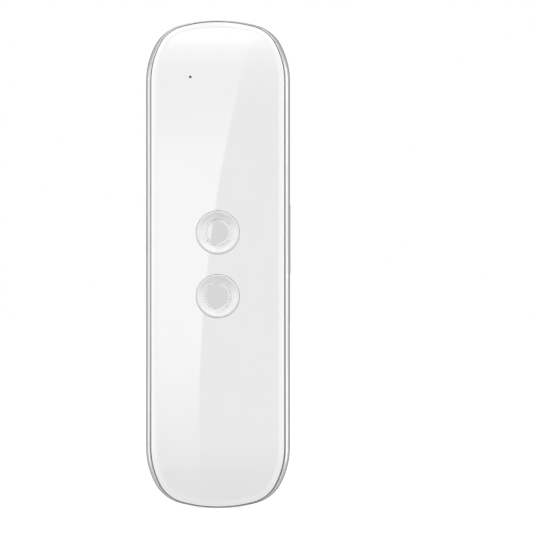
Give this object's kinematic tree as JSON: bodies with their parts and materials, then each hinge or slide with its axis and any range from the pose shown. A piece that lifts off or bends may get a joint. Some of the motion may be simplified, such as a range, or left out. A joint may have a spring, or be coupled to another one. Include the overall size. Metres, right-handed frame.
{
  "type": "handheld translator",
  "caption": "Slim hand-held voice translator with a glossy front cover, round buttons, a plated rim, a satin back with a speaker grille, and side keys.",
  "frame": {"origin": "middle of the body, halfway along its length, width and depth", "axes": "+Z along the body towards the end with the speaker and microphones, front cover facing -Y, +X to the right seen from the front"},
  "size_m": [0.0422, 0.012, 0.142],
  "materials": {
    "cover_white": "high gloss, white behind a clear face",
    "button_white": "high gloss",
    "plated_rim": "bright plated plastic",
    "satin_silver": "satin silver paint on moulded plastic",
    "key_silver": "satin silver",
    "board_green": "solder mask on glass fibre",
    "black_plastic": "moulded, matt",
    "switch_plastic": "moulded, matt",
    "plunger_plastic": "moulded, matt",
    "tinned_steel": "tinned sheet",
    "screw_steel": "zinc plated",
    "black_foam": "soft foam",
    "mesh_cloth": "fine woven dust mesh",
    "black_tape": "black die-cut adhesive tape",
    "battery_foil": "foil pouch",
    "ceramic": "ceramic",
    "white_plastic": "moulded, matt"
  },
  "bodies": {
    "case": {"front_panel": "cover_white", "panel_adhesive": "black_tape", "bezel_frame": "plated_rim", "back_shell": "satin_silver", "upper_switch": "switch_plastic", "lower_switch": "switch_plastic", "volume_up_switch": "switch_plastic", "volume_down_switch": "switch_plastic", "power_switch": "switch_plastic", "main_board": "board_green", "processor": "black_plastic", "shield_can": "tinned_steel", "antenna": "ceramic", "battery_plug": "white_plastic", "front_microphone": "tinned_steel", "front_microphone_boot": "black_foam", "side_microphone": "tinned_steel", "side_microphone_boot": "black_foam", "speaker_mesh": "mesh_cloth", "speaker_gasket": "black_foam", "speaker_frame": "black_plastic", "speaker_cone": "black_plastic", "speaker_magnet": "tinned_steel", "battery": "battery_foil", "battery_pad": "black_foam", "charging_port_shell": "tinned_steel", "charging_port_tongue": "black_plastic", "case_screws": "screw_steel", "board_screws": "screw_steel"},
    "upper_button": {"upper_button": "button_white", "upper_switch_plunger": "plunger_plastic"},
    "lower_button": {"lower_button": "button_white", "lower_switch_plunger": "plunger_plastic"},
    "volume_key": {"volume_key": "key_silver", "volume_up_switch_plunger": "plunger_plastic", "volume_down_switch_plunger": "plunger_plastic"},
    "power_key": {"power_key": "key_silver", "power_switch_plunger": "plunger_plastic"}
  },
  "joints": [
    {"name": "upper_button_press", "type": "slide", "parent": "case", "child": "upper_button", "axis": [0, 1, 0], "range_m": [0, 0.0003], "stiffness_N_per_m": 5000},
    {"name": "lower_button_press", "type": "slide", "parent": "case", "child": "lower_button", "axis": [0, 1, 0], "range_m": [0, 0.0003], "stiffness_N_per_m": 5000},
    {"name": "volume_key_rock", "type": "hinge", "parent": "case", "child": "volume_key", "pos_m": [0.01735, 0.0002, 0.00735], "axis": [0, 1, 0], "range_deg": [-1.6, 1.6], "stiffness_Nm_per_rad": 0.5},
    {"name": "power_key_press", "type": "slide", "parent": "case", "child": "power_key", "axis": [1, 0, 0], "range_m": [0, 0.00025], "stiffness_N_per_m": 5000}
  ]
}
